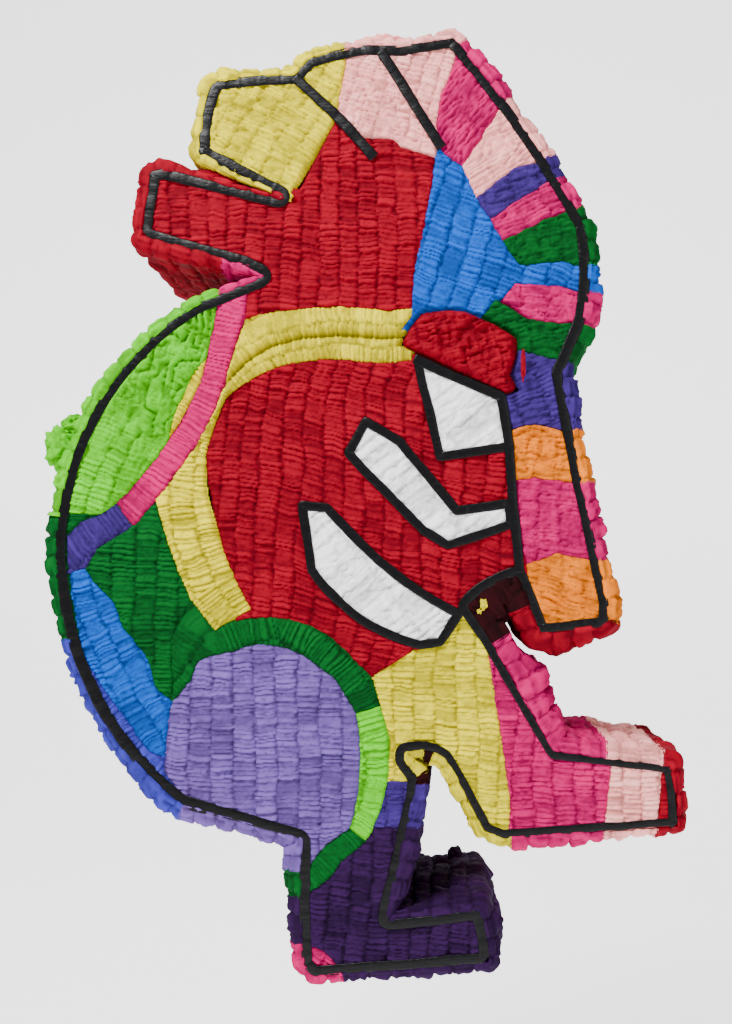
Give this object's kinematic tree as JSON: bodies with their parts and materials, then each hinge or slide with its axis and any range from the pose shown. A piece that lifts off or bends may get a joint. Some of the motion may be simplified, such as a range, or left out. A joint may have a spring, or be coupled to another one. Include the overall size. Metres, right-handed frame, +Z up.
{
  "type": "pinata",
  "caption": "Flat-sided party pinata of a made-up creature: a cardboard box body covered in gathered crepe paper, with black outlines, a hanging hole and a hinged fill door.",
  "frame": {"origin": "mouth of the hanging hole, on its axis, at the top of the head", "axes": "+Z up out of the hanging hole, +X towards the toes, front face towards -Y"},
  "size_m": [0.5982, 0.177, 0.893],
  "materials": {
    "cardboard": "plain corrugated",
    "masking_tape": "creped tape",
    "joint_tape": "brown paper tape",
    "black_tape": "glossy vinyl tape",
    "pine": "bare",
    "sleeve_brass": "satin",
    "red_crepe": "crepe",
    "yellow_crepe": "crepe",
    "blush_crepe": "crepe",
    "rose_crepe": "crepe",
    "indigo_crepe": "crepe",
    "sky_crepe": "crepe",
    "violet_crepe": "crepe",
    "green_crepe": "crepe",
    "lime_crepe": "crepe",
    "orange_crepe": "crepe",
    "lavender_crepe": "crepe",
    "purple_crepe": "crepe",
    "white_crepe": "crepe",
    "maroon_crepe": "crepe"
  },
  "bodies": {
    "body": {"back_panel": "cardboard", "braces": "cardboard", "crepe_belly_red": "red_crepe", "crepe_braid_green": "green_crepe", "crepe_braid_indigo": "indigo_crepe", "crepe_braid_orange": "orange_crepe", "crepe_braid_rose_low": "rose_crepe", "crepe_braid_rose_mid": "rose_crepe", "crepe_braid_rose_top": "rose_crepe", "crepe_brow": "blush_crepe", "crepe_claws": "white_crepe", "crepe_collar": "yellow_crepe", "crepe_crest_blush": "blush_crepe", "crepe_crest_rose": "rose_crepe", "crepe_dark_lining": "maroon_crepe", "crepe_elbow_indigo": "indigo_crepe", "crepe_flank_blue": "sky_crepe", "crepe_flank_green": "green_crepe", "crepe_foot_purple": "purple_crepe", "crepe_head_red": "red_crepe", "crepe_heel_rose": "rose_crepe", "crepe_instep_blush": "blush_crepe", "crepe_knee_blue": "indigo_crepe", "crepe_leg_rose": "rose_crepe", "crepe_lime_back": "lime_crepe", "crepe_neck_blue": "sky_crepe", "crepe_nose": "yellow_crepe", "crepe_ring_green": "green_crepe", "crepe_ring_lime": "lime_crepe", "crepe_rump_violet": "violet_crepe", "crepe_shoulder_ruffle": "red_crepe", "crepe_thigh_lavender": "lavender_crepe", "crepe_thigh_yellow": "yellow_crepe", "crepe_toe_red": "red_crepe", "crepe_tongue": "rose_crepe", "door_frame": "cardboard", "edge_tape_back": "masking_tape", "edge_tape_front": "masking_tape", "front_panel": "cardboard", "hanging_batten": "pine", "hanging_sleeve": "sleeve_brass", "hinge_tape_upper": "masking_tape", "joint_tapes": "joint_tape", "tape_brow": "black_tape", "tape_claws": "black_tape", "tape_crest": "black_tape", "tape_outline": "black_tape", "tape_shoulder": "black_tape", "wall_arch": "cardboard", "wall_back": "cardboard", "wall_braid": "cardboard", "wall_leg": "cardboard", "wall_rear_foot": "cardboard", "wall_rump": "cardboard", "wall_snout": "cardboard", "wall_top": "cardboard"},
    "door": {"door_flap": "cardboard", "door_crepe": "red_crepe", "hinge_tape_lower": "masking_tape"}
  },
  "joints": [
    {"name": "door_hinge", "type": "hinge", "parent": "body", "child": "door", "pos_m": [0, 0.0803, -0.345], "axis": [1, 0, 0], "range_deg": [0, 95]}
  ]
}
